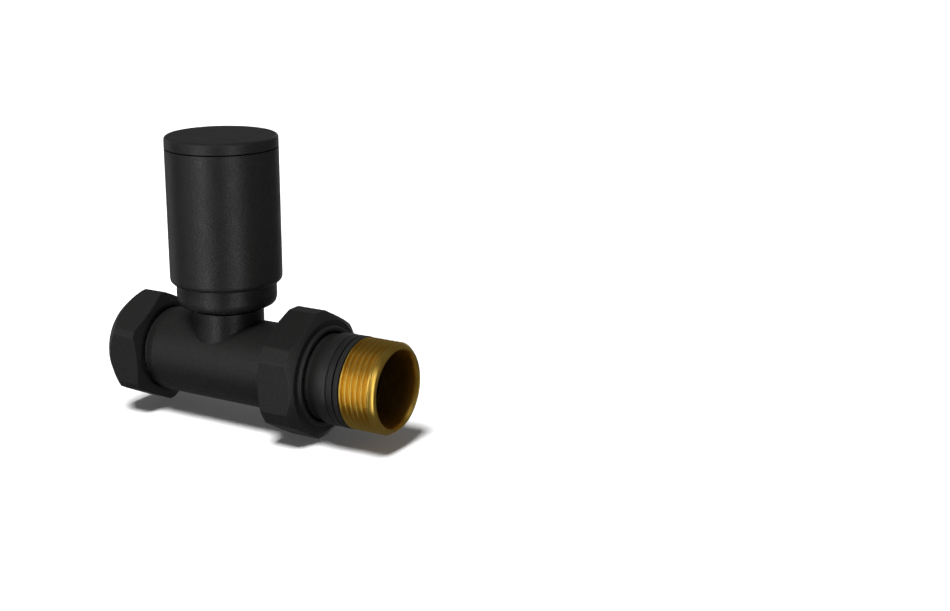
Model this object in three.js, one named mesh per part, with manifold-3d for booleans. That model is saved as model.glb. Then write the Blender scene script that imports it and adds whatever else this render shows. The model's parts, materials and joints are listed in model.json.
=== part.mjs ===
// Straight lockshield radiator valve: a forged body with a compression pipe end, a union and
// radiator tail, a headwork with a rising spindle, and a tall plain cover cap over it.
// Millimetres. The origin is where the pipe axis (X) crosses the spindle axis (Z).
// +X points to the radiator, +Z up the spindle. The valve is modelled closed, with its cap on.
import * as THREE from 'three';
import { mergeVertices } from 'three/addons/utils/BufferGeometryUtils.js';
import Module from 'manifold-3d';

const wasm = await Module();
wasm.setup();

// ---- driving dimensions -------------------------------------------------------------------
const LARGE = 32;                 // facets round the large turned pieces
const SMALL = 16;                 // facets round the small ones
const GAP = 0.3;                  // running clearance left between neighbouring pieces

const TAIL_THREAD_R = 20.955 / 2; // G1/2 male thread on the tail
const TAIL_BORE_R = 8.43;
const TAIL_END = 46.57;
const PIPE_SOCKET_R = 7.65;       // takes a 15 mm pipe
const BORE_R = 6.5;               // waterway inside the body
const TUBE_R = 10.04;             // outside of the body's horizontal tube
const TUBE_START = -15.2;         // a bevel runs from here down to the pipe thread
const NECK_R = 8.35;              // the upright neck that the headwork screws into
const NECK_TOP = 12.6;
const CHAMBER_R = 7;              // inside the neck, above the seat
const CHAMBER_FLOOR = -0.6;
const PORT_R = 2.6;               // the two ways between the chambers and the tube
const LOW_PORT_Z = -4.6;
const HIGH_PORT_Z = 2.9;

const SPIGOT_R = 9.4;             // M20 x 1.5 thread at the pipe end, drawn plain
const SPIGOT_END = -22.6;
const UNION_THREAD_R = 11.9;      // M24 x 1.5 thread at the radiator end, drawn plain
const UNION_FACE = 24;            // the body's flat end under the union nut

// The nuts' hexagons, with the corners trimmed to narrow flats. A chamfer is a cone from chamferR
// on an end face, and its slope is its length along X for each millimetre of radius.
const PIPE_NUT = {
  from: -27.9, to: -17.7, halfFlats: 11.96, cornerR: 13.37, turn: 3.64,
  outer: { chamferR: 10.5, slope: 1.18 },
  inner: { chamferR: 10.75, slope: 0.36 },
};
const UNION_NUT = {
  from: 18.2, to: 27.6, halfFlats: 13.77, cornerR: 14.86, turn: 0,
  outer: { chamferR: 13.35, slope: 0.42 },
  inner: { chamferR: 12.9, slope: 0.77 },
};

const SEAT_R = 3.6;
const STEM_R = 2.9;
const SPINDLE_TOP = 38.6;

const COLLAR_R = 11.52;
const COLLAR_BOTTOM = 13.4;
const COLLAR_TOP = 21.3;
const CAP_R = 12.9;
const CAP_INNER_R = 11.82;
const CAP_BOTTOM = 18.8;
const CAP_SEAM = 49.9;            // where the sleeve ends and the top disc begins
const CAP_TOP = 52.75;

// ---- materials ----------------------------------------------------------------------------
const coatedBlack = new THREE.MeshStandardMaterial({ color: 0x1c1a1a, roughness: 0.5, metalness: 0.1 });
const bareBrass = new THREE.MeshStandardMaterial({ color: 0xc9a13b, roughness: 0.3, metalness: 1 });
const blackRubber = new THREE.MeshStandardMaterial({ color: 0x121212, roughness: 0.7, metalness: 0 });
const whiteNylon = new THREE.MeshStandardMaterial({ color: 0xd9d5c8, roughness: 0.5, metalness: 0 });
const fibre = new THREE.MeshStandardMaterial({ color: 0x1a1a1a, roughness: 0.8, metalness: 0 });
const steel = new THREE.MeshStandardMaterial({ color: 0xa8a8aa, roughness: 0.35, metalness: 1 });

// ---- solids -------------------------------------------------------------------------------
function signedVolume(position, index) {
  const a = new THREE.Vector3();
  const b = new THREE.Vector3();
  const c = new THREE.Vector3();
  let volume = 0;
  for (let i = 0; i < index.length; i += 3) {
    a.fromBufferAttribute(position, index[i]);
    b.fromBufferAttribute(position, index[i + 1]);
    c.fromBufferAttribute(position, index[i + 2]);
    volume += a.dot(b.cross(c)) / 6;
  }
  return volume;
}

function solidOf(geometry) {
  geometry.deleteAttribute('normal');
  geometry.deleteAttribute('uv');
  const merged = mergeVertices(geometry, 1e-4);
  const all = Array.from(merged.index.array);
  const index = [];
  for (let i = 0; i < all.length; i += 3) {
    const [a, b, c] = all.slice(i, i + 3);
    if (a !== b && b !== c && c !== a) index.push(a, b, c);
  }
  if (signedVolume(merged.attributes.position, index) < 0) index.reverse();
  const mesh = new wasm.Mesh({
    numProp: 3,
    vertProperties: new Float32Array(merged.attributes.position.array),
    triVerts: new Uint32Array(index),
  });
  return new wasm.Manifold(mesh);
}

function piece(name, solid, material) {
  const result = solid.getMesh();
  const geometry = new THREE.BufferGeometry();
  geometry.setAttribute('position', new THREE.Float32BufferAttribute(result.vertProperties, 3));
  geometry.setIndex(Array.from(result.triVerts));
  geometry.computeVertexNormals();
  const mesh = new THREE.Mesh(geometry, material);
  mesh.name = name;
  return mesh;
}

// A turned solid from an outline of [radius, height along the axis] points. An outline that
// doesn't reach the axis at both ends closes on itself and makes a ring.
function turned(outline, facets) {
  const points = outline.map(([r, h]) => new THREE.Vector2(r, h));
  const reachesAxis = outline[0][0] === 0 && outline.at(-1)[0] === 0;
  if (!reachesAxis) points.push(points[0].clone());
  return new THREE.LatheGeometry(points, facets);
}

const aboutZ = (outline, facets = LARGE) => solidOf(turned(outline, facets).rotateX(Math.PI / 2));
const aboutX = (outline, facets = LARGE) => solidOf(turned(outline, facets).rotateZ(-Math.PI / 2));

const rodZ = (r, low, high, facets = LARGE) => aboutZ([[0, low], [r, low], [r, high], [0, high]], facets);
const rodX = (r, low, high, facets = LARGE) => aboutX([[0, low], [r, low], [r, high], [0, high]], facets);

const ringOutline = (inner, outer, low, high) => [[inner, low], [outer, low], [outer, high], [inner, high]];

// Points of an arc about (r, h) in an outline, from one angle to another in degrees; 0 points
// away from the axis and 90 along it.
function arc(r, h, radius, from, to, steps) {
  const points = [];
  for (let i = 0; i <= steps; i += 1) {
    const angle = THREE.MathUtils.degToRad(from + (to - from) * i / steps);
    points.push([r + radius * Math.cos(angle), h + radius * Math.sin(angle)]);
  }
  return points;
}

const oRing = (r, h, section, about) => about(arc(r, h, section, 0, 315, 7), SMALL);

// A six-sided prism along +Z. A corner radius below the true one trims each corner to a narrow flat.
function hexagon(halfFlats, low, high, cornerR = Infinity) {
  const trim = Math.max(0, halfFlats / Math.cos(Math.PI / 6) - cornerR) * Math.tan(Math.PI / 3);
  const shape = new THREE.Shape();
  const corners = [];
  for (let i = 0; i < 6; i += 1) {
    const angle = i * Math.PI / 3;
    const along = new THREE.Vector2(Math.cos(angle), Math.sin(angle));
    const across = new THREE.Vector2(-along.y, along.x);
    const reach = Math.min(cornerR, halfFlats / Math.cos(Math.PI / 6));
    const sides = trim > 0 ? [-trim, trim] : [0];
    sides.forEach((side) => corners.push(along.clone().multiplyScalar(reach).addScaledVector(across, side)));
  }
  shape.setFromPoints(corners);
  return new THREE.ExtrudeGeometry(shape, { depth: high - low, bevelEnabled: false }).translate(0, 0, low);
}

// A nut along +X: the same prism with its first corner turned from +Z towards -Y by an angle in
// degrees, and both ends chamfered.
function nutBlank({ from, to, halfFlats, cornerR, turn, outer, inner }) {
  const geometry = hexagon(halfFlats, from, to, cornerR);
  geometry.rotateZ(-Math.PI / 2 + THREE.MathUtils.degToRad(turn));
  const prism = solidOf(geometry.rotateX(Math.PI / 2).rotateZ(Math.PI / 2));
  const past = 15.5;
  return prism.intersect(aboutX([
    [0, from], [outer.chamferR, from], [past, from + (past - outer.chamferR) * outer.slope],
    [past, to - (past - inner.chamferR) * inner.slope], [inner.chamferR, to], [0, to],
  ]));
}

// ---- body ---------------------------------------------------------------------------------
function valveBody() {
  const tube = aboutX([
    [0, SPIGOT_END], [SPIGOT_R - 0.2, SPIGOT_END], [SPIGOT_R, SPIGOT_END + 0.2], [SPIGOT_R, -17.1],
    [9.75, -17.1], [TUBE_R, TUBE_START], [TUBE_R, 16.2], [UNION_THREAD_R, 17.3],
    [UNION_THREAD_R, UNION_FACE - 0.4], [UNION_THREAD_R - 0.4, UNION_FACE], [0, UNION_FACE],
  ]);
  const neck = aboutZ([
    [0, 0], [NECK_R, 0], [NECK_R, NECK_TOP - 0.3], [NECK_R - 0.3, NECK_TOP], [0, NECK_TOP],
  ]);
  const socketMouthR = SPIGOT_R + 0.27;
  const grooveDepth = 1.15;
  const waterways = [
    // the socket for the pipe, with the cone that the olive closes on
    aboutX([[0, -23.3], [socketMouthR, -23.3], [PIPE_SOCKET_R, -21.2], [PIPE_SOCKET_R, -11], [0, -11]]),
    rodX(BORE_R, -11.5, -8.2, SMALL),
    rodX(PORT_R, -9, 0, SMALL).translate([0, 0, LOW_PORT_Z]),
    rodZ(5.6, -7, -2, SMALL),
    rodZ(SEAT_R, -3, 1, SMALL),
    rodZ(CHAMBER_R, CHAMBER_FLOOR, NECK_TOP + 1, SMALL + 8),
    rodX(PORT_R, 0, 9.5, SMALL).translate([0, 0, HIGH_PORT_Z]),
    rodX(BORE_R, 8.6, UNION_FACE + 1, SMALL),
    // the groove for the union's O-ring
    aboutX(ringOutline(8.5, 10.1, UNION_FACE - grooveDepth, UNION_FACE + 1)),
  ];
  const seat = aboutZ(ringOutline(SEAT_R, SEAT_R + 0.8, CHAMBER_FLOOR - 0.2, 0), SMALL);
  const shell = waterways.reduce((solid, cut) => solid.subtract(cut), tube.add(neck));
  return shell.add(seat);
}

// ---- headwork -----------------------------------------------------------------------------
function bonnet() {
  const turnedPart = aboutZ([
    [5.25, 6], [5.25, 10.6], [4.5, 11.2], [4.5, 20], [3.3, 20.6], [3.3, 28.6], [4.4, 28.6], [4.4, 31.2],
    [5.6, 31.2], [5.6, 17], [6.7, 17], [6.7, 6.4], [6.3, 6],
  ], SMALL + 8);
  const spannerFlats = solidOf(hexagon(7.5, 14.95, 18.6)).subtract(rodZ(5.7, 14, 19, SMALL));
  return turnedPart.add(spannerFlats);
}

const bonnetSeal = () => aboutZ(ringOutline(7.1, 7.9, NECK_TOP + 0.1, COLLAR_BOTTOM - 0.1), SMALL + 8);

function baseCollar() {
  return aboutZ([
    [7.1, COLLAR_BOTTOM], ...arc(COLLAR_R - 1.2, COLLAR_BOTTOM + 1.2, 1.2, 270, 360, 3),
    [COLLAR_R, COLLAR_TOP], [9.3, COLLAR_TOP], [9.3, 14.6], [7.1, 14.6],
  ]);
}

function glandNut() {
  const head = solidOf(hexagon(4.7, 31.5, 33.6));
  return head.add(rodZ(4.1, 29.9, 32, SMALL)).subtract(rodZ(STEM_R + GAP, 29, 34, SMALL));
}

const glandPacking = () => aboutZ(ringOutline(STEM_R + GAP, 4.1, 28.9, 29.6), SMALL);

function spindle() {
  const grooveR = 1.75;
  const stem = aboutZ([
    [0, 10], [2.5, 10], [2.5, 5.3], [3.6, 5.3], [3.6, 11.4], [4.2, 11.9], [4.2, 15.9], [STEM_R, 16.4],
    [STEM_R, 21.1], [grooveR, 21.1], [grooveR, 22.5], [STEM_R, 22.5],
    [STEM_R, 23.2], [grooveR, 23.2], [grooveR, 24.6], [STEM_R, 24.6],
    [STEM_R, SPINDLE_TOP - 0.3], [STEM_R - 0.3, SPINDLE_TOP], [0, SPINDLE_TOP],
  ], SMALL);
  // a square for the lockshield key, with a screwdriver slot across its end
  const key = new THREE.BoxGeometry(4.2, 4.2, 20).translate(0, 0, 30);
  const squared = stem.subtract(rodZ(5, 34.3, 40, SMALL).subtract(solidOf(key)));
  return squared.subtract(solidOf(new THREE.BoxGeometry(8, 0.9, 2).translate(0, 0, SPINDLE_TOP)));
}

function plug() {
  return aboutZ([
    [0, 6.5], [1.3, 6.5], [1.3, 3], [4.6, 3], [4.9, 3.3], [4.9, 4.7], [4.6, 5], [2.2, 5],
    [2.2, 9.4], [0, 9.4],
  ], SMALL);
}

const plugWasher = () => aboutZ(ringOutline(1.3, 4.8, 0.3, 2.7), SMALL);

function washerScrew() {
  const screw = aboutZ([[0, -1.3], [1.9, -1.3], [2.3, -0.9], [2.3, 0], [1, 0], [1, 6], [0, 6]], SMALL);
  return screw.subtract(solidOf(new THREE.BoxGeometry(6, 0.7, 1.2).translate(0, 0, -1.3)));
}

// ---- cap ----------------------------------------------------------------------------------
function capLiner() {
  const flangeR = CAP_INNER_R - 0.37;
  return aboutZ([
    [5.95, 22.3], [5.95, 27.2], [7.3, 27.2], [7.3, 29], [5.95, 29], [5.95, 44], [1.65, 44], [1.65, 46],
    [flangeR, 46], [flangeR, 43.6], [9.2, 43.6], [9.2, 24.6], [flangeR, 24.6], [flangeR, 22.3],
  ], SMALL + 8);
}

function capSleeve() {
  const edge = 1.1;
  return aboutZ([
    [CAP_INNER_R, CAP_BOTTOM + 0.05],
    ...arc(CAP_R - edge, CAP_BOTTOM + edge, edge, 290, 360, 3),
    [CAP_R, CAP_SEAM], [11.2, CAP_SEAM], [11.2, 47.6], [1.8, 47.6], [1.8, 46.3], [CAP_INNER_R, 46.3],
  ]);
}

function capScrew() {
  const screw = aboutZ([
    [0, 44.3], [1.35, 44.3], [1.35, 48.5], [2.8, 48.5], [2.8, 49.4], [2.4, 49.7], [0, 49.7],
  ], SMALL);
  return screw.subtract(solidOf(hexagon(0.9, 48.9, 50)));
}

const capScrewWasher = () => aboutZ(ringOutline(1.8, 3.8, 47.85, 48.2), SMALL);

function capDisc() {
  const edge = 0.59;
  return aboutZ([
    [0, 50.15], [9.6, 50.15], [9.6, 48.4], [10.9, 48.4], [10.9, 50.15], [CAP_R, 50.15],
    ...arc(CAP_R - edge, CAP_TOP - edge, edge, 0, 90, 3), [0, CAP_TOP],
  ]);
}

// ---- pipe end -----------------------------------------------------------------------------
function compressionNut() {
  const { from, to } = PIPE_NUT;
  const threadR = SPIGOT_R + 0.35;
  return nutBlank(PIPE_NUT).subtract(aboutX([
    [0, from - 1], [7.85, from - 1], [7.85, -25.5], [threadR, -23.4], [threadR, to + 1], [0, to + 1],
  ]));
}

const olive = () => aboutX([[7.62, -22], [7.9, -22], [8.8, -22.95], [8.8, -24.05], [7.9, -25], [7.62, -25]]);

// ---- radiator end -------------------------------------------------------------------------
function unionNut() {
  const { from, to } = UNION_NUT;
  const holeR = 10.8;
  const shoulder = 26.2;
  const lip = aboutX([[0, to - 1], [11.5, to - 1], [11.5, to + 0.4], [11.2, to + 0.8], [0, to + 0.8]]);
  return nutBlank(UNION_NUT).add(lip).subtract(aboutX([
    [0, from - 1], [UNION_THREAD_R + GAP, from - 1], [UNION_THREAD_R + GAP, shoulder], [holeR, shoulder],
    [holeR, to + 1], [0, to + 1],
  ]));
}

function radiatorTail() {
  const start = UNION_FACE + 0.45;
  return aboutX([
    [BORE_R, start], [11.5, start], [11.8, start + 0.3], [11.8, 25.9], [9.9, 25.9], [9.9, 29.4],
    [10.2, 30.2], [10.5, 31.2], [10.6, 32.3], [10.52, 33.3], [10.4, 34],
    [10, 34.1], [10, 34.25], [10.5, 34.35], [10.5, 35.75], [9.3, 35.85], [9.3, 37.6],
    [10.1, 37.6], [TAIL_THREAD_R, 37.9], [TAIL_THREAD_R, 45.4], [10.1, 45.95], [9.7, 46.35],
    [9.25, TAIL_END], [9, TAIL_END], [8.65, TAIL_END - 0.8], [TAIL_BORE_R, TAIL_END - 2.5],
    [TAIL_BORE_R, 28.5], [BORE_R, 26],
  ]);
}

function tailSealRing() {
  return aboutX([
    [9.6, 36.1], [10.3, 36.1], [10.55, 36.35], [10.55, 37.1], [10.3, 37.35], [9.6, 37.35],
  ]);
}

const unionSeal = () => oRing(9.3, UNION_FACE - 0.35, 0.5, aboutX);

// ---- the valve ----------------------------------------------------------------------------
const valve = new THREE.Group();
valve.name = 'lockshield_valve';

valve.add(
  piece('valve_body', valveBody(), coatedBlack),
  piece('bonnet', bonnet(), bareBrass),
  piece('bonnet_seal', bonnetSeal(), fibre),
  piece('cap_base_collar', baseCollar(), coatedBlack),
  piece('gland_nut', glandNut(), bareBrass),
  piece('gland_packing', glandPacking(), whiteNylon),
  piece('union_seal', unionSeal(), blackRubber),
);

valve.add(
  piece('plug', plug(), bareBrass),
  piece('plug_washer', plugWasher(), blackRubber),
  piece('washer_screw', washerScrew(), bareBrass),
  piece('spindle', spindle(), bareBrass),
  piece('spindle_seal_lower', oRing(2.5, 21.8, 0.5, aboutZ), blackRubber),
  piece('spindle_seal_upper', oRing(2.5, 23.9, 0.5, aboutZ), blackRubber),
);

valve.add(
  piece('cap_liner', capLiner(), whiteNylon),
  piece('cap_grip_ring', oRing(6.5, 28.1, 0.6, aboutZ), blackRubber),
  piece('cap_sleeve', capSleeve(), coatedBlack),
  piece('cap_screw', capScrew(), steel),
  piece('cap_screw_washer', capScrewWasher(), steel),
  piece('cap_disc', capDisc(), coatedBlack),
);

valve.add(
  piece('compression_nut', compressionNut(), coatedBlack),
  piece('olive', olive(), bareBrass),
  piece('union_nut', unionNut(), coatedBlack),
  piece('radiator_tail', radiatorTail(), bareBrass),
  piece('tail_seal_ring', tailSealRing(), blackRubber),
);

export default valve;
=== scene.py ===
"""Looks of a straight lockshield radiator valve: fine meshes and procedural materials that
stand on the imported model's frame. Lengths are millimetres until a mesh is written, in metres.
An outline is a list of (radius, height along the axis, edge rounding) points."""
import json
import math

import bmesh
import bpy
from mathutils import Matrix, Vector


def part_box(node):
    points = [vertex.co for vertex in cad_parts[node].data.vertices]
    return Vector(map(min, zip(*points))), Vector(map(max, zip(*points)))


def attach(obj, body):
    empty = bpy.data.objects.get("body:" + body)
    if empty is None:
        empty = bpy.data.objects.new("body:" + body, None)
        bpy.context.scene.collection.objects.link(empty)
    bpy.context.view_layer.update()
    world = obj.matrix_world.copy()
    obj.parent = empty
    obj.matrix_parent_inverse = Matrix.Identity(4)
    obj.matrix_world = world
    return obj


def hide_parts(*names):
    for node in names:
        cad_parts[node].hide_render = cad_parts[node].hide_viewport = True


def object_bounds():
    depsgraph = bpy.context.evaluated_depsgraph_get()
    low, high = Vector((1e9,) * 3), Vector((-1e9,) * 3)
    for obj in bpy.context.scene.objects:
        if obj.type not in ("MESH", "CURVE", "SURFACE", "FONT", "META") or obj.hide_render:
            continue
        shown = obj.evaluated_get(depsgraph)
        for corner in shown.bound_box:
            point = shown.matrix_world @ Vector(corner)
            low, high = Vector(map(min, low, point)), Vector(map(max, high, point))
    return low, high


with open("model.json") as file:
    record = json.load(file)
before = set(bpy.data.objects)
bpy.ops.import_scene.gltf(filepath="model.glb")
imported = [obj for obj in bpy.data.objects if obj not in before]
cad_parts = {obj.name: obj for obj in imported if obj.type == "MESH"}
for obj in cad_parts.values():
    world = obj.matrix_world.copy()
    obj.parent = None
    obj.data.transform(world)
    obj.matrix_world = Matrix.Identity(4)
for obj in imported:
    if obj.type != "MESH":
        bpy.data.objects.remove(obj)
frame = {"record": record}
cad_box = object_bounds()

MM = 0.001
X, Y, Z = 0, 1, 2

# ---- fineness of the meshes ----------------------------------------------------------------
LARGE = 144        # steps round a large turned piece
SMALL = 72         # steps round a small one
FLAT_STEPS = 20    # steps along a nut's flat, for a length of half the nut's width
EDGE = 0.15        # usual rounding of a machined or coated edge
EDGE_STEPS = 4
SUPPORT = 0.06     # distance from an edge of the loops that keep a flat face flat
THREAD_STEPS = 16  # rings for each turn of a thread
FINE_STEPS = 40    # the same on the bare thread, so that its crests shade smoothly
TAIL_STEPS = 240   # steps round the tail's bare thread

# ---- the camera and the light --------------------------------------------------------------
CAMERA_AIM = (60.64, 0.0, 21.23)
CAMERA_DISTANCE = 338.2
CAMERA_AZIMUTH = 30.18
CAMERA_ELEVATION = 15.72
CAMERA_LENS = 60.35
CAMERA_SHIFT = 0.0226
CAMERA_SENSOR = 36
SOFTBOX_DISTANCE = 0.8               # metres
SOFTBOX_CENTRE = Vector((0.01, 0, 0.02))
FLOOR_GAP = 0.02

# ---- the body and its nuts, as in the CAD model ---------------------------------------------
TUBE_R = 10.04
TUBE_START = -15.2
BEVEL_START = -17.1
SPIGOT_R = 9.4
NECK_R = 8.35
NECK_TOP = 12.6
BORE_R = 6.5
TAIL_BORE_R = 8.43
TAIL_GROOVE_R = 9.3
TAIL_THREAD_R = 10.4775
PIPE_NUT = {
    "half_flats": 11.96, "corner_r": 13.37, "turn": 3.64,
    "outer": {"chamfer_r": 10.5, "slope": 1.18}, "inner": {"chamfer_r": 10.75, "slope": 0.36},
}
UNION_NUT = {
    "half_flats": 13.77, "corner_r": 14.86, "turn": 0.0,
    "outer": {"chamfer_r": 13.35, "slope": 0.42}, "inner": {"chamfer_r": 12.9, "slope": 0.77},
}

# ---- threads: pitch and depth ---------------------------------------------------------------
PIPE_THREAD = (1.5, 0.8)
UNION_THREAD = (1.5, 0.8)
TAIL_THREAD = (1.39, 0.8)
SPINDLE_THREAD = (1.0, 0.45)
SCREW_THREAD = (0.5, 0.22)
BONNET_THREAD = (1.0, 0.4)
GLAND_THREAD = (0.8, 0.3)


def span(node, axis):
    """Lowest and highest millimetre of a CAD node along an axis."""
    low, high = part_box(node)
    return low[axis] / MM, high[axis] / MM


def reach(node, axis=Y):
    """The outer radius of a turned CAD node, from its box across its own axis."""
    return span(node, axis)[1]


# ---- outlines -------------------------------------------------------------------------------
def rounded(outline):
    """The outline's points with each rounded corner replaced by a short curve."""
    closed = outline[0][0] > 0 or outline[-1][0] > 0
    count = len(outline)
    points = []
    for i, (r, h, *edge) in enumerate(outline):
        here = Vector((r, h))
        size = edge[0] if edge else 0
        if size == 0 or (not closed and i in (0, count - 1)):
            points.append(here)
            continue
        before = Vector(outline[i - 1][:2]) - here
        after = Vector(outline[(i + 1) % count][:2]) - here
        reach_back = min(size, 0.45 * before.length)
        reach_on = min(size, 0.45 * after.length)
        start = here + before.normalized() * reach_back
        end = here + after.normalized() * reach_on
        for k in range(EDGE_STEPS + 1):
            t = k / EDGE_STEPS
            points.append((1 - t) ** 2 * start + 2 * t * (1 - t) * here + t * t * end)
    return points


def supported(points, closed):
    """Adds a loop close to each end of every long straight stretch."""
    result = []
    count = len(points)
    for i, here in enumerate(points):
        result.append(here)
        if i == count - 1 and not closed:
            break
        step = points[(i + 1) % count] - here
        if step.length > 5 * SUPPORT:
            result.append(here + step.normalized() * SUPPORT)
            result.append(here + step - step.normalized() * SUPPORT)
    return result


def still_ring(r, h):
    """A ring that is round: the same radius and height at every angle."""
    return lambda angle: (r, h)


def rings_of(outline, joined=False):
    """Rings of a turned outline. joined says that threads or flats follow on, so it stays open."""
    closed = not joined and (outline[0][0] > 0 or outline[-1][0] > 0)
    if joined:
        inside = [(r, h, *edge) for r, h, *edge in outline]
        inside[0] = inside[0][:2]
        inside[-1] = inside[-1][:2]
        points = rounded(inside)
    else:
        points = rounded(outline)
    return [still_ring(p.x, p.y) for p in supported(points, closed)]


def thread_rings(r, start, end, thread, inside=False, run_out=0.6, steps=THREAD_STEPS):
    """Rings of a right-hand helical thread from start to end. r is the plain radius: the crests
    of an outside thread, or of an inside one."""
    pitch, depth = thread
    sign = 1 if inside else -1
    low, high = min(start, end), max(start, end)
    count = max(2, round(abs(end - start) / pitch * steps))

    def ring_at(h):
        fade = min(1, (h - low) / run_out, (high - h) / run_out)

        def ring(angle):
            turn = h / pitch - angle / (2 * math.pi)
            groove = 0.5 - 0.5 * math.cos(2 * math.pi * turn)
            return r + sign * depth * groove * fade, h

        return ring

    return [ring_at(start + (end - start) * k / count) for k in range(count + 1)]


# ---- six-sided sections ---------------------------------------------------------------------
def hexagon_path(half_flats, corner_r=None, edge=0.2, turn=0.0):
    """(angle, radius) pairs round a hexagon whose first corner points at the angle turn. corner_r
    trims each corner to a narrow flat, and edge rounds what is left."""
    full_r = half_flats / math.cos(math.pi / 6)
    trim = (full_r - corner_r) * math.tan(math.pi / 3) if corner_r else 0
    corners = []
    for i in range(6):
        direction = i * math.pi / 3
        along = Vector((math.cos(direction), math.sin(direction)))
        across = Vector((-along.y, along.x))
        for side in ((-trim, trim) if trim else (0,)):
            corners.append(along * (corner_r or full_r) + across * side)
    count = len(corners)
    path = []
    for i, here in enumerate(corners):
        before = (corners[i - 1] - here).normalized()
        after = corners[(i + 1) % count] - here
        start = here + before * edge
        end = here + after.normalized() * edge
        for k in range(EDGE_STEPS + 1):
            t = k / EDGE_STEPS
            path.append((1 - t) ** 2 * start + 2 * t * (1 - t) * here + t * t * end)
        flat = after.length - 2 * edge
        steps = max(2, round(FLAT_STEPS * after.length / half_flats))
        ends = min(SUPPORT, flat / 4)
        path.append(end + after.normalized() * ends)
        for k in range(1, steps):
            path.append(end + after.normalized() * (flat * k / steps))
        path.append(end + after.normalized() * (flat - ends))
    pairs = [(math.atan2(p.y, p.x) % (2 * math.pi), p.length) for p in path]
    pairs.sort()
    return [(angle + math.radians(turn), radius) for angle, radius in pairs]


def side_of(path):
    """The hexagon's radius at each of its own angles."""
    table = dict(path)
    return lambda angle: table[angle]


def chamfered_rings(side, face, inward, chamfer_r, slope, soft=0.18):
    """Rings from a nut's flat face over its conical chamfer on to its flats. inward is +1 or -1,
    the way from the face into the nut, and slope is the cone's rise for each millimetre of run."""

    def cone(r):
        return face + inward * (r - chamfer_r) * slope

    def on_cone(back):
        return lambda angle: (side(angle) - back, cone(side(angle) - back))

    def on_side(deep):
        return lambda angle: (side(angle), cone(side(angle)) + inward * deep)

    rings = [still_ring(chamfer_r - soft, face), still_ring(chamfer_r - 0.3 * soft, face)]

    def past_circle(angle):
        r = chamfer_r + min(soft, 0.4 * (side(angle) - chamfer_r))
        return r, cone(r)

    rings.append(past_circle)
    rings.append(on_cone(soft * 0.55))
    rings.append(on_cone(soft * 0.25))
    rings.append(lambda angle: (side(angle) - 0.05 * soft, cone(side(angle)) + inward * 0.1 * soft))
    rings.append(on_side(soft * 0.45))
    rings.append(on_side(soft))
    return rings


# ---- meshes ---------------------------------------------------------------------------------
def even_angles(count):
    return [2 * math.pi * k / count for k in range(count)]


def place(axis, r, angle, h):
    """A point in metres. Angles turn positively about the axis, from +X about Z and +Z about X."""
    if axis == Z:
        return (r * math.cos(angle) * MM, r * math.sin(angle) * MM, h * MM)
    return (h * MM, -r * math.sin(angle) * MM, r * math.cos(angle) * MM)


def revolve(name, axis, rings, angles):
    """A closed mesh from rings of points. Rings at radius 0 at both ends close it on the axis,
    and otherwise the last ring joins the first."""
    mesh = bmesh.new()
    grid = []
    for ring in rings:
        r, h = ring(angles[0])
        if r < 1e-9:
            grid.append([mesh.verts.new(place(axis, 0, 0, h))])
        else:
            grid.append([mesh.verts.new(place(axis, *_polar(ring, angle))) for angle in angles])
    count = len(angles)
    pairs = list(zip(grid, grid[1:]))
    if len(grid[0]) > 1:
        pairs.append((grid[-1], grid[0]))
    for low, high in pairs:
        for i in range(count):
            j = (i + 1) % count
            corners = [low[i % len(low)], low[j % len(low)], high[j % len(high)], high[i % len(high)]]
            unique = list(dict.fromkeys(corners))
            if len(unique) > 2:
                mesh.faces.new(unique)
    bmesh.ops.recalc_face_normals(mesh, faces=mesh.faces)
    return _finish_mesh(name, mesh)


def _polar(ring, angle):
    r, h = ring(angle)
    return r, angle, h


def _finish_mesh(name, mesh):
    data = bpy.data.meshes.new(name)
    mesh.to_mesh(data)
    mesh.free()
    piece = bpy.data.objects.new(name, data)
    bpy.context.scene.collection.objects.link(piece)
    smooth(piece)
    return piece


def smooth(piece, sharp_above=32):
    data = piece.data
    data.polygons.foreach_set("use_smooth", [True] * len(data.polygons))
    data.set_sharp_from_angle(angle=math.radians(sharp_above))


def turned(name, axis, outline, steps=LARGE):
    return revolve(name, axis, rings_of(outline), even_angles(steps))


def block(size, centre):
    """A plain cutter in millimetres, used up by a boolean."""
    mesh = bmesh.new()
    bmesh.ops.create_cube(mesh, size=1)
    scale = Matrix.Diagonal((*[s * MM for s in size], 1))
    shift = Matrix.Translation([c * MM for c in centre])
    bmesh.ops.transform(mesh, matrix=shift @ scale, verts=mesh.verts)
    return _finish_mesh("cutter", mesh)


def combine(piece, other, operation):
    """Joins other to piece, or cuts it away, and removes other."""
    modifier = piece.modifiers.new("combine", "BOOLEAN")
    modifier.operation = operation
    modifier.solver = "EXACT"
    modifier.object = other
    evaluated = piece.evaluated_get(bpy.context.evaluated_depsgraph_get())
    result = bpy.data.meshes.new_from_object(evaluated)
    piece.modifiers.clear()
    old = piece.data
    piece.data = result
    result.name = piece.name
    bpy.data.meshes.remove(old)
    spare = other.data
    bpy.data.objects.remove(other)
    bpy.data.meshes.remove(spare)
    smooth(piece)


def ring_outline(inner, outer, low, high, edge=EDGE):
    return [(inner, low, edge), (outer, low, edge), (outer, high, edge), (inner, high, edge)]


def o_ring(name, node, axis):
    """A round-section ring that fills a CAD O-ring's box."""
    low, high = span(node, axis)
    section = (high - low) / 2
    centre_r = reach(node) - section
    centre_h = (low + high) / 2
    points = [
        (centre_r + section * math.cos(angle), centre_h + section * math.sin(angle))
        for angle in even_angles(24)
    ]
    return turned(name, axis, points)


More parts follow.
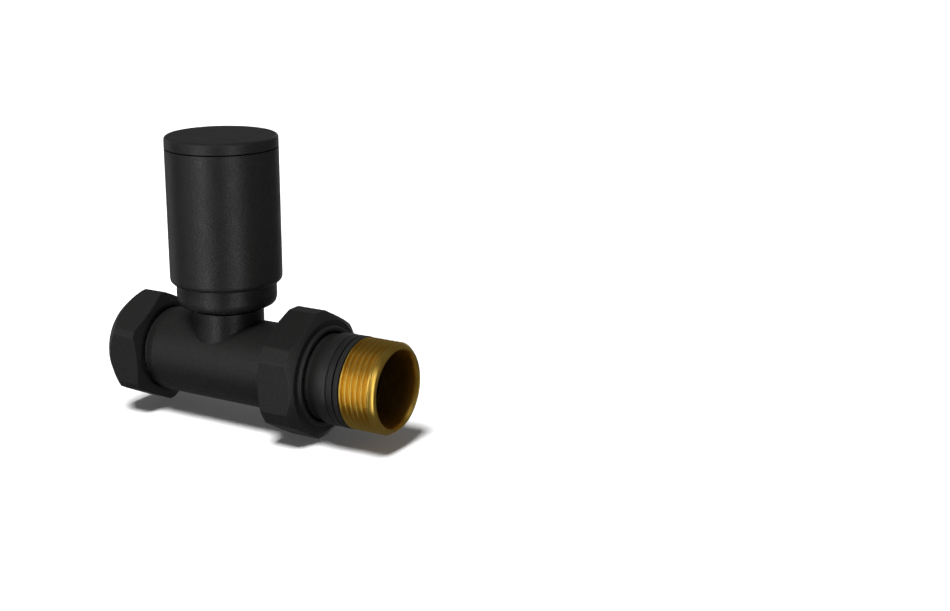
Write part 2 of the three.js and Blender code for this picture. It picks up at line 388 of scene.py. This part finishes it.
# ---- body -----------------------------------------------------------------------------------
def make_body():
    start, end = span("valve_body", X)
    thread_r = reach("valve_body")
    rings = rings_of([(0, start), (SPIGOT_R - 0.35, start, EDGE), (SPIGOT_R, start + 0.4)], joined=True)
    rings += thread_rings(SPIGOT_R, start + 0.45, BEVEL_START - 0.05, PIPE_THREAD)
    rings += rings_of([
        (SPIGOT_R, BEVEL_START), (9.75, BEVEL_START, 0.12), (TUBE_R, TUBE_START, 0.1),
        (TUBE_R, 16.2, 0.3), (thread_r, 17.3, 0.2), (thread_r, 17.6),
    ], joined=True)
    rings += thread_rings(thread_r, 17.65, end - 0.45, UNION_THREAD)
    rings += rings_of([(thread_r, end - 0.4), (thread_r - 0.4, end, EDGE), (0, end)], joined=True)
    body = revolve("valve_body_forging", X, rings, even_angles(LARGE))
    neck = turned("neck", Z, [(0, 0), (NECK_R, 0), (NECK_R, NECK_TOP, 0.3), (0, NECK_TOP)])
    combine(body, neck, "UNION")
    for cutter in waterways(end):
        combine(body, cutter, "DIFFERENCE")
    return body


def waterways(end):
    """The cutters of the body's hollows, from the pipe socket to the groove in its end face."""
    seat_r, seat_wall, chamber_r, port_r = 3.6, 0.8, 7, 2.6
    low_port = turned("low_port", X, [(0, -9), (port_r, -9), (port_r, 0), (0, 0)], SMALL)
    low_port.location.z = -4.6 * MM
    high_port = turned("high_port", X, [(0, 0), (port_r, 0), (port_r, 9.5), (0, 9.5)], SMALL)
    high_port.location.z = 2.9 * MM
    bpy.context.view_layer.update()
    return [
        turned("socket", X, [
            (0, -24), (10.34, -24), (7.65, -21.2, 0.1), (7.65, -11, 0.1), (0, -11),
        ], SMALL),
        turned("inlet", X, [(0, -11.5), (BORE_R, -11.5), (BORE_R, -8.2, 0.5), (0, -8.2)], SMALL),
        turned("lower_chamber", Z, [(0, -7), (5.6, -7, 0.8), (5.6, -2, 0.4), (0, -2)], SMALL),
        turned("seat_hole", Z, [(0, -3), (seat_r, -3), (seat_r, 1), (0, 1)], SMALL),
        low_port,
        turned("upper_chamber", Z, [
            (0, 0), (seat_r + seat_wall, 0), (seat_r + seat_wall, -0.6, 0.1), (chamber_r, -0.6, 0.3),
            (chamber_r, NECK_TOP + 1), (0, NECK_TOP + 1),
        ], SMALL),
        turned("outlet", X, [(0, 8.6), (BORE_R, 8.6, 0.5), (BORE_R, end + 2), (0, end + 2)], SMALL),
        high_port,
        turned("union_groove", X, ring_outline(8.5, 10.1, end - 1.15, end + 1), SMALL),
    ]


# ---- headwork -------------------------------------------------------------------------------
def make_bonnet():
    path = hexagon_path(7.5, edge=0.15)
    side = side_of(path)
    low, high = span("bonnet", Z)
    rings = rings_of([
        (4.5, 11.3), (4.5, 11.2), (5.25, 10.6, 0.1), (5.25, low, 0.1), (6.3, low, 0.1),
        (6.7, low + 0.4), (6.7, 6.6),
    ], joined=True)
    rings += thread_rings(6.7, 6.7, 12.6, BONNET_THREAD)
    rings += rings_of([(6.7, 12.7), (6.7, 14.95, 0.1), (7.0, 14.95)], joined=True)
    rings += chamfered_rings(side, 14.95, 1, 7.2, 0.35, 0.12)
    rings += reversed(chamfered_rings(side, 18.6, -1, 7.2, 0.35, 0.12))
    rings += rings_of([
        (7.0, 18.6), (5.6, 18.6, 0.1), (5.6, high, 0.25), (4.4, high, 0.1), (4.4, 28.6, 0.1),
        (3.3, 28.6, 0.1), (3.3, 20.6, 0.1), (4.5, 20, 0.1), (4.5, 19.9),
    ], joined=True)
    rings += thread_rings(4.5, 19.8, 11.4, SPINDLE_THREAD, inside=True)
    return revolve("bonnet_turning", Z, rings, [angle for angle, _ in path])


def make_bonnet_seal():
    outline = ring_outline(7.1, reach("bonnet_seal"), *span("bonnet_seal", Z), 0.05)
    return turned("bonnet_washer", Z, outline)


def make_collar():
    low, high = span("cap_base_collar", Z)
    r = reach("cap_base_collar")
    return turned("base_collar", Z, [
        (7.1, low, 0.1), (r - 1.5, low, 0.4), (r - 0.35, low + 0.4, 0.7), (r, low + 1.6, 0.5),
        (r, high, 0.3), (9.3, high, EDGE), (9.3, low + 1.2, EDGE), (7.1, low + 1.2, 0.1),
    ])


def make_gland_nut():
    path = hexagon_path(4.7, edge=0.12)
    side = side_of(path)
    low, high = span("gland_nut", Z)
    rings = rings_of([(3.2, low), (3.9, low, 0.1), (4.1, low + 0.25), (4.1, low + 0.3)], joined=True)
    rings += thread_rings(4.1, low + 0.35, 31.2, GLAND_THREAD)
    rings += rings_of([(4.1, 31.3), (4.1, 31.5), (4.3, 31.5)], joined=True)
    rings += chamfered_rings(side, 31.5, 1, 4.5, 0.35, 0.1)
    rings += reversed(chamfered_rings(side, high, -1, 4.5, 0.35, 0.1))
    rings += rings_of([(4.3, high), (3.2, high, 0.12), (3.2, low)], joined=True)
    return revolve("gland_nut_turning", Z, rings, [angle for angle, _ in path])


def make_gland_packing():
    outline = ring_outline(3.2, reach("gland_packing"), *span("gland_packing", Z), 0.1)
    return turned("packing_ring", Z, outline, SMALL)


def make_spindle():
    low, high = span("spindle", Z)
    stem_r, thread_r, groove_r = 2.9, 4.2, 1.75
    rings = rings_of([
        (0, 10), (2.5, 10, 0.1), (2.5, low, 0.1), (3.6, low, EDGE), (3.6, 11.4), (thread_r, 11.9),
    ], joined=True)
    rings += thread_rings(thread_r, 11.95, 15.85, SPINDLE_THREAD)
    lands = []
    for node in ("spindle_seal_lower", "spindle_seal_upper"):
        centre = sum(span(node, Z)) / 2
        lands += [
            (stem_r, centre - 0.7, 0.08), (groove_r, centre - 0.7, 0.08),
            (groove_r, centre + 0.7, 0.08), (stem_r, centre + 0.7, 0.08),
        ]
    rings += rings_of([
        (thread_r, 15.9), (stem_r, 16.4, 0.1), *lands, (stem_r, high, 0.3), (0, high),
    ], joined=True)
    spindle = revolve("spindle_stem", Z, rings, even_angles(SMALL))
    key_width, key_start = 4.2, 34.3
    for side in (-1, 1):
        offset = side * (key_width / 2 + 2)
        combine(spindle, block((4, 10, 10), (offset, 0, key_start + 5)), "DIFFERENCE")
        combine(spindle, block((10, 4, 10), (0, offset, key_start + 5)), "DIFFERENCE")
    combine(spindle, block((8, 0.9, 2), (0, 0, high)), "DIFFERENCE")
    return spindle


def make_plug():
    low, high = span("plug", Z)
    r = reach("plug")
    return turned("plug_turning", Z, [
        (0, 6.5), (1.3, 6.5), (1.3, low, 0.1), (r, low, 0.3), (r, low + 2, 0.3), (2.2, low + 2, 0.15),
        (2.2, high, 0.2), (0, high),
    ], SMALL)


def make_plug_washer():
    outline = ring_outline(1.3, reach("plug_washer"), *span("plug_washer", Z), 0.25)
    return turned("plug_washer_disc", Z, outline, SMALL)


def make_washer_screw():
    low, high = span("washer_screw", Z)
    rings = rings_of([(0, low), (2.3, low, 0.5), (2.3, 0, 0.1), (1, 0), (1, 0.2)], joined=True)
    rings += thread_rings(1, 0.3, high - 0.2, SCREW_THREAD)
    rings += rings_of([(1, high - 0.15), (0.8, high), (0, high)], joined=True)
    screw = revolve("washer_screw_turning", Z, rings, even_angles(SMALL))
    combine(screw, block((6, 0.7, 1.2), (0, 0, low)), "DIFFERENCE")
    return screw


# ---- cap ------------------------------------------------------------------------------------
def make_liner():
    low, high = span("cap_liner", Z)
    r = reach("cap_liner")
    bore_r, spool_r, screw_r = 5.95, 9.2, 1.65
    return turned("liner_moulding", Z, [
        (bore_r, low, 0.4), (bore_r, 27.2, 0.1), (7.3, 27.2, 0.1), (7.3, 29, 0.1), (bore_r, 29, 0.1),
        (bore_r, high - 2, 0.3), (screw_r, high - 2, 0.1), (screw_r, high, 0.1), (r, high, 0.3),
        (r, high - 2.4, 0.2), (spool_r, high - 2.4, 0.4), (spool_r, low + 2.3, 0.4),
        (r, low + 2.3, 0.2), (r, low, 0.4),
    ])


def make_sleeve():
    low, high = span("cap_sleeve", Z)
    r = reach("cap_sleeve")
    inner_r, recess_r, hole_r = 11.82, 11.2, 1.8
    web_low, web_high = 46.3, 47.6
    return turned("cap_sleeve_shell", Z, [
        (inner_r, low + 0.05, 0.1), (r - 0.7, low, 0.2), (r - 0.14, low + 0.45, 0.5),
        (r, low + 1.1, 0.4), (r, high, 0.08), (recess_r, high, 0.1), (recess_r, web_high, 0.2),
        (hole_r, web_high, 0.1), (hole_r, web_low, 0.1), (inner_r, web_low, 0.3),
    ])


def make_cap_screw():
    low, high = span("cap_screw", Z)
    rings = rings_of([(0, low), (1.1, low), (1.35, low + 0.25)], joined=True)
    rings += thread_rings(1.35, low + 0.3, 48.2, SCREW_THREAD)
    rings += rings_of([
        (1.35, 48.3), (1.35, 48.5), (2.8, 48.5, 0.1), (2.8, high, 0.4), (0, high),
    ], joined=True)
    screw = revolve("cap_screw_turning", Z, rings, even_angles(SMALL))
    path = hexagon_path(0.9, edge=0.03)
    side = side_of(path)
    floor, top = 48.9, high + 0.5
    socket = [
        still_ring(0, floor), lambda a: (side(a), floor), lambda a: (side(a), top), still_ring(0, top),
    ]
    combine(screw, revolve("socket", Z, socket, [angle for angle, _ in path]), "DIFFERENCE")
    return screw


def make_cap_screw_washer():
    outline = ring_outline(1.8, reach("cap_screw_washer"), *span("cap_screw_washer", Z), 0.08)
    return turned("cap_washer_disc", Z, outline, SMALL)


def make_disc():
    low, high = span("cap_disc", Z)
    r = reach("cap_disc")
    plate = 50.15
    return turned("cap_top_disc", Z, [
        (0, plate), (9.6, plate, 0.1), (9.6, low, 0.2), (10.9, low, 0.3), (10.9, plate, 0.1),
        (r, plate, 0.08), (r, high, 0.9), (0, high),
    ])


# ---- pipe end -------------------------------------------------------------------------------
def nut_outside(sizes, start, end):
    """The angles and the outer rings of a nut with two chamfered ends, from start to end."""
    path = hexagon_path(sizes["half_flats"], corner_r=sizes["corner_r"], turn=sizes["turn"], edge=0.3)
    side = side_of(path)
    outer, inner = sizes["outer"], sizes["inner"]
    rings = chamfered_rings(side, start, 1, outer["chamfer_r"], outer["slope"])
    rings += reversed(chamfered_rings(side, end, -1, inner["chamfer_r"], inner["slope"]))
    return [angle for angle, _ in path], rings


def make_compression_nut():
    start, end = span("compression_nut", X)
    pipe_r, thread_r = 7.85, SPIGOT_R + 0.35
    angles, outside = nut_outside(PIPE_NUT, start, end)
    rings = rings_of([(pipe_r, start, 0.3), (10.2, start)], joined=True)
    rings += outside
    rings += rings_of([(10.4, end), (thread_r, end, 0.3), (thread_r, end - 0.5)], joined=True)
    rings += thread_rings(thread_r, end - 0.6, -23.2, PIPE_THREAD, inside=True)
    rings += rings_of([(thread_r, -23.4), (pipe_r, -25.5, 0.2), (pipe_r, start + 0.3)], joined=True)
    return revolve("pipe_nut", X, rings, angles)


def make_olive():
    low, high = span("olive", X)
    r = reach("olive")
    return turned("olive_ring", X, [
        (7.62, high, 0.05), (7.9, high, 0.1), (r, high - 0.95, 0.3), (r, low + 0.95, 0.3),
        (7.9, low, 0.1), (7.62, low, 0.05),
    ])


# ---- radiator end ---------------------------------------------------------------------------
def make_union_nut():
    start, lip_end = span("union_nut", X)
    face = lip_end - 0.8
    thread_r, hole_r, shoulder = 12.2, 10.35, 26.2
    angles, outside = nut_outside(UNION_NUT, start, face)
    rings = rings_of([(thread_r, start + 0.4), (thread_r + 0.3, start, 0.1), (13.1, start)], joined=True)
    rings += outside
    rings += rings_of([
        (12.6, face), (11.5, face, 0.2), (11.5, lip_end - 0.35, 0.2), (11.2, lip_end, 0.25),
        (hole_r, lip_end, 0.25), (hole_r, shoulder, 0.1), (thread_r, shoulder, 0.1),
        (thread_r, shoulder - 0.4),
    ], joined=True)
    rings += thread_rings(thread_r, shoulder - 0.5, start + 0.5, UNION_THREAD, inside=True)
    return revolve("union_nut_shell", X, rings, angles)


def tail_split():
    """Where the coating stops and the bare thread starts: in the seal ring's groove."""
    return sum(span("tail_seal_ring", X)) / 2


def make_tail_coated():
    start = span("radiator_tail", X)[0]
    split = tail_split()
    return turned("tail_coated_half", X, [
        (BORE_R, start, 0.1), (11.5, start, 0.1), (11.8, start + 0.3, 0.1), (11.8, 25.9, 0.2),
        (9.9, 25.9, 0.2), (9.9, 29.3, 0.3), (10.2, 30.2, 0.5), (10.5, 31.2, 0.6), (10.6, 32.3, 0.6),
        (10.52, 33.3, 0.5), (10.42, 34, 0.2), (10.15, 34.1, 0.05), (10.15, 34.22, 0.05),
        (10.5, 34.34, 0.2), (10.5, 35.8, 0.22), (TAIL_GROOVE_R, 35.85, 0.1), (TAIL_GROOVE_R, split),
        (TAIL_BORE_R, split), (TAIL_BORE_R, 28.5, 0.3), (BORE_R, 26, 0.3),
    ])


def make_tail_thread():
    end = span("radiator_tail", X)[1]
    split = tail_split()
    rings = rings_of([
        (TAIL_BORE_R, split), (TAIL_GROOVE_R, split), (TAIL_GROOVE_R, 37.6, 0.1), (9.95, 37.6, 0.1),
        (10.1, 37.7),
    ], joined=True)
    rings += thread_rings(TAIL_THREAD_R, 37.75, 45.4, TAIL_THREAD, run_out=0.5, steps=FINE_STEPS)
    rings += rings_of([
        (TAIL_THREAD_R, 45.43), (10.1, 45.95, 0.25), (9.7, 46.35, 0.2), (9.25, end, 0.1),
        (9.0, end, 0.1), (8.65, end - 0.8, 0.5), (TAIL_BORE_R, end - 2.5, 0.8),
        (TAIL_BORE_R, split + 0.1),
    ], joined=True)
    return revolve("tail_bare_thread", X, rings, even_angles(TAIL_STEPS))


def make_tail_seal():
    low, high = span("tail_seal_ring", X)
    return turned("tail_ring", X, ring_outline(9.6, reach("tail_seal_ring"), low, high, 0.3))


# ---- materials ------------------------------------------------------------------------------
def new_material(name, colour, roughness, metallic=0.0):
    material = bpy.data.materials.new(name)
    material.use_nodes = True
    shader = material.node_tree.nodes["Principled BSDF"]
    shader.inputs["Base Color"].default_value = (*colour, 1)
    shader.inputs["Roughness"].default_value = roughness
    shader.inputs["Metallic"].default_value = metallic
    return material, shader


def object_coordinates(tree, stretch=(1, 1, 1)):
    """Points of the object in millimetres, stretched along its axes."""
    coordinates = tree.nodes.new("ShaderNodeTexCoord")
    mapping = tree.nodes.new("ShaderNodeMapping")
    mapping.inputs["Scale"].default_value = [s / MM for s in stretch]
    tree.links.new(coordinates.outputs["Object"], mapping.inputs["Vector"])
    return mapping.outputs["Vector"]


def noise(tree, vector, scale, detail=2.0, roughness=0.5):
    node = tree.nodes.new("ShaderNodeTexNoise")
    node.inputs["Scale"].default_value = scale
    node.inputs["Detail"].default_value = detail
    node.inputs["Roughness"].default_value = roughness
    tree.links.new(vector, node.inputs["Vector"])
    return node.outputs["Fac"]


def remap(tree, value, low, high, from_low=0.3, from_high=0.7):
    node = tree.nodes.new("ShaderNodeMapRange")
    node.inputs["From Min"].default_value = from_low
    node.inputs["From Max"].default_value = from_high
    node.inputs["To Min"].default_value = low
    node.inputs["To Max"].default_value = high
    tree.links.new(value, node.inputs["Value"])
    return node.outputs["Result"]


def mix_colours(tree, factor, first, second):
    node = tree.nodes.new("ShaderNodeMix")
    node.data_type = "RGBA"
    node.inputs["A"].default_value = (*first, 1)
    node.inputs["B"].default_value = (*second, 1)
    tree.links.new(factor, node.inputs["Factor"])
    return node.outputs["Result"]


def bump(tree, shader, height, distance, base=None):
    """Raises the surface by up to distance, in millimetres, on top of an earlier bump if any."""
    node = tree.nodes.new("ShaderNodeBump")
    node.inputs["Distance"].default_value = distance * MM
    tree.links.new(height, node.inputs["Height"])
    if base is not None:
        tree.links.new(base, node.inputs["Normal"])
    tree.links.new(node.outputs["Normal"], shader.inputs["Normal"])
    return node.outputs["Normal"]


def black_coating():
    """Satin black powder coat: fine orange peel with a faint sparkle of uneven gloss."""
    material, shader = new_material("black_powder_coat", (0.008, 0.0078, 0.0076), 0.42)
    tree = material.node_tree
    points = object_coordinates(tree)
    peel = noise(tree, object_coordinates(tree, (1, 1, 1.8)), 2.4, 1.0, 0.45)
    grain = noise(tree, points, 5.0, 2.0, 0.6)
    patches = noise(tree, points, 0.22, 2.0, 0.5)
    tree.links.new(remap(tree, patches, 0.38, 0.46), shader.inputs["Roughness"])
    colour = mix_colours(tree, grain, (0.0060, 0.0058, 0.0056), (0.0105, 0.0101, 0.0098))
    tree.links.new(colour, shader.inputs["Base Color"])
    coarse = bump(tree, shader, peel, 0.06)
    bump(tree, shader, grain, 0.02, base=coarse)
    return material


def bare_brass(name="machined_brass", axis=X):
    """Machined brass: faint turning marks round the axis, and slightly uneven colour."""
    material, shader = new_material(name, (0.86, 0.52, 0.09), 0.3, 1.0)
    tree = material.node_tree
    stretch = [0.05, 0.05, 0.05]
    stretch[axis] = 5.0
    marks = noise(tree, object_coordinates(tree, stretch), 1.0, 2.0, 0.5)
    patches = noise(tree, object_coordinates(tree), 0.3, 2.0, 0.5)
    tree.links.new(remap(tree, marks, 0.30, 0.36), shader.inputs["Roughness"])
    spread = remap(tree, patches, 0, 1)
    colour = mix_colours(tree, spread, (0.90, 0.60, 0.12), (0.82, 0.50, 0.085))
    tree.links.new(colour, shader.inputs["Base Color"])
    bump(tree, shader, marks, 0.0003)
    return material


def black_rubber():
    material, shader = new_material("seal_rubber", (0.010, 0.010, 0.010), 0.6)
    tree = material.node_tree
    grain = noise(tree, object_coordinates(tree), 5.0, 3.0, 0.6)
    tree.links.new(remap(tree, grain, 0.52, 0.7), shader.inputs["Roughness"])
    bump(tree, shader, grain, 0.008)
    return material


def white_nylon():
    material, shader = new_material("moulded_nylon", (0.66, 0.63, 0.54), 0.45)
    shader.inputs["Subsurface Weight"].default_value = 0.15
    shader.inputs["Subsurface Scale"].default_value = 0.6 * MM
    tree = material.node_tree
    points = object_coordinates(tree)
    cloud = noise(tree, points, 0.3, 3.0, 0.5)
    spread = remap(tree, cloud, 0, 1)
    colour = mix_colours(tree, spread, (0.70, 0.67, 0.58), (0.60, 0.57, 0.48))
    tree.links.new(colour, shader.inputs["Base Color"])
    bump(tree, shader, noise(tree, points, 3.0, 2.0, 0.5), 0.01)
    return material


def pressed_fibre():
    material, shader = new_material("pressed_fibre", (0.02, 0.019, 0.018), 0.8)
    tree = material.node_tree
    strands = noise(tree, object_coordinates(tree, (1, 1, 0.3)), 4.0, 4.0, 0.7)
    spread = remap(tree, strands, 0, 1)
    colour = mix_colours(tree, spread, (0.026, 0.024, 0.022), (0.012, 0.011, 0.010))
    tree.links.new(colour, shader.inputs["Base Color"])
    bump(tree, shader, strands, 0.03)
    return material


def plated_steel():
    material, shader = new_material("plated_steel", (0.60, 0.60, 0.62), 0.3, 1.0)
    tree = material.node_tree
    marks = noise(tree, object_coordinates(tree, (0.2, 0.2, 8.0)), 1.0, 3.0, 0.6)
    tree.links.new(remap(tree, marks, 0.22, 0.4), shader.inputs["Roughness"])
    bump(tree, shader, marks, 0.004)
    return material


# ---- the valve ------------------------------------------------------------------------------
def build_valve():
    coating = black_coating()
    brass_x = bare_brass()
    brass_z = bare_brass("machined_brass_upright", Z)
    rubber = black_rubber()
    nylon = white_nylon()
    fibre = pressed_fibre()
    steel = plated_steel()
    bodies = frame["record"]["behaviour"]["bodies"]
    body_of_node = {node: body for body, nodes in bodies.items() for node in nodes}

    pieces = [
        (make_body, "valve_body", coating),
        (make_bonnet, "bonnet", brass_z),
        (make_bonnet_seal, "bonnet_seal", fibre),
        (make_collar, "cap_base_collar", coating),
        (make_gland_nut, "gland_nut", brass_z),
        (make_gland_packing, "gland_packing", nylon),
        (lambda: o_ring("union_o_ring", "union_seal", X), "union_seal", rubber),
        (make_plug, "plug", brass_z),
        (make_plug_washer, "plug_washer", rubber),
        (make_washer_screw, "washer_screw", brass_z),
        (make_spindle, "spindle", brass_z),
        (lambda: o_ring("spindle_o_ring_lower", "spindle_seal_lower", Z), "spindle_seal_lower", rubber),
        (lambda: o_ring("spindle_o_ring_upper", "spindle_seal_upper", Z), "spindle_seal_upper", rubber),
        (make_liner, "cap_liner", nylon),
        (lambda: o_ring("grip_o_ring", "cap_grip_ring", Z), "cap_grip_ring", rubber),
        (make_sleeve, "cap_sleeve", coating),
        (make_cap_screw, "cap_screw", steel),
        (make_cap_screw_washer, "cap_screw_washer", steel),
        (make_disc, "cap_disc", coating),
        (make_compression_nut, "compression_nut", coating),
        (make_olive, "olive", brass_x),
        (make_union_nut, "union_nut", coating),
        (make_tail_coated, "radiator_tail", coating),
        (make_tail_thread, "radiator_tail", brass_x),
        (make_tail_seal, "tail_seal_ring", rubber),
    ]
    for make, node, material in pieces:
        piece = make()
        piece.data.materials.clear()
        piece.data.materials.append(material)
        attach(piece, body_of_node[node])
        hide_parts(node)


# ---- studio ---------------------------------------------------------------------------------
def add_floor():
    """A white floor. Reflections miss it, so that it doesn't wash out the black coating."""
    mesh = bmesh.new()
    bmesh.ops.create_grid(mesh, x_segments=1, y_segments=1, size=20)
    floor = _finish_mesh("studio_floor", mesh)
    floor.location.z = cad_box[0].z - FLOOR_GAP * MM
    floor.visible_glossy = False
    material, shader = new_material("white_floor", (0.92, 0.92, 0.92), 1.0)
    shader.inputs["Specular IOR Level"].default_value = 0.0
    shader.inputs["Emission Color"].default_value = (1, 1, 1, 1)
    shader.inputs["Emission Strength"].default_value = 0.045
    floor.data.materials.append(material)


def aimed(location, target):
    """A placement at location, in metres, that looks at target."""
    facing = (target - location).to_track_quat("-Z", "Y").to_matrix().to_4x4()
    return Matrix.Translation(location) @ facing


def towards(azimuth, elevation):
    """A direction from the valve. Azimuth 0 is on the -Y side, and 90 on the +X side."""
    a, e = math.radians(azimuth), math.radians(elevation)
    return Vector((math.sin(a) * math.cos(e), -math.cos(a) * math.cos(e), math.sin(e)))


def add_lamp(light, matrix):
    lamp = bpy.data.objects.new(light.name, light)
    bpy.context.scene.collection.objects.link(lamp)
    lamp.matrix_world = matrix
    return lamp


def add_key(azimuth, elevation, strength, angle):
    """A broad distant light that lights the floor evenly and casts the soft shadow."""
    light = bpy.data.lights.new("key", "SUN")
    light.energy = strength
    light.angle = math.radians(angle)
    lamp = add_lamp(light, aimed(towards(azimuth, elevation), Vector()))
    lamp.visible_glossy = False


def add_softbox(name, azimuth, elevation, size, brightness):
    """A panel of light that only shows in reflections. Size is its width and height in metres."""
    light = bpy.data.lights.new(name, "AREA")
    light.shape = "RECTANGLE"
    light.size, light.size_y = size
    light.energy = brightness * math.pi * size[0] * size[1]
    place_at = SOFTBOX_CENTRE + towards(azimuth, elevation) * SOFTBOX_DISTANCE
    lamp = add_lamp(light, aimed(place_at, SOFTBOX_CENTRE))
    lamp.visible_diffuse = False


def add_world(camera_strength, light_strength):
    """A white background that lights the valve more softly than it shows."""
    world = bpy.data.worlds.new("studio")
    bpy.context.scene.world = world
    world.use_nodes = True
    tree = world.node_tree
    background = tree.nodes["Background"]
    background.inputs["Color"].default_value = (1, 1, 1, 1)
    path = tree.nodes.new("ShaderNodeLightPath")
    strength = remap(tree, path.outputs["Is Camera Ray"], light_strength, camera_strength, 0, 1)
    tree.links.new(strength, background.inputs["Strength"])


def add_camera():
    camera = bpy.data.cameras.new("camera")
    camera.lens = CAMERA_LENS
    camera.sensor_width = CAMERA_SENSOR
    camera.shift_x = CAMERA_SHIFT
    camera.clip_start = 0.01
    holder = bpy.data.objects.new("camera", camera)
    bpy.context.scene.collection.objects.link(holder)
    aim = Vector(CAMERA_AIM) * MM
    offset = towards(CAMERA_AZIMUTH, CAMERA_ELEVATION) * CAMERA_DISTANCE * MM
    holder.matrix_world = aimed(aim + offset, aim)
    bpy.context.scene.camera = holder


def add_studio():
    add_floor()
    add_world(1.0, 0.09)
    add_key(8, 65, 4.8, 22)
    add_softbox("front_strip", -5, 0, (0.13, 1.2), 4.2)
    add_softbox("right_strip", 58, 0, (0.15, 1.2), 3.2)
    add_softbox("left_panel", -34, 9, (0.36, 0.9), 0.55)
    add_softbox("overhead", 0, 75, (0.5, 0.5), 0.5)
    add_softbox("back_panel", 196, 0, (0.3, 1.2), 0.3)
    add_softbox("back_left", 262, 0, (0.3, 1.2), 0.4)
    bpy.context.scene.view_settings.view_transform = "Standard"


build_valve()
add_studio()
add_camera()
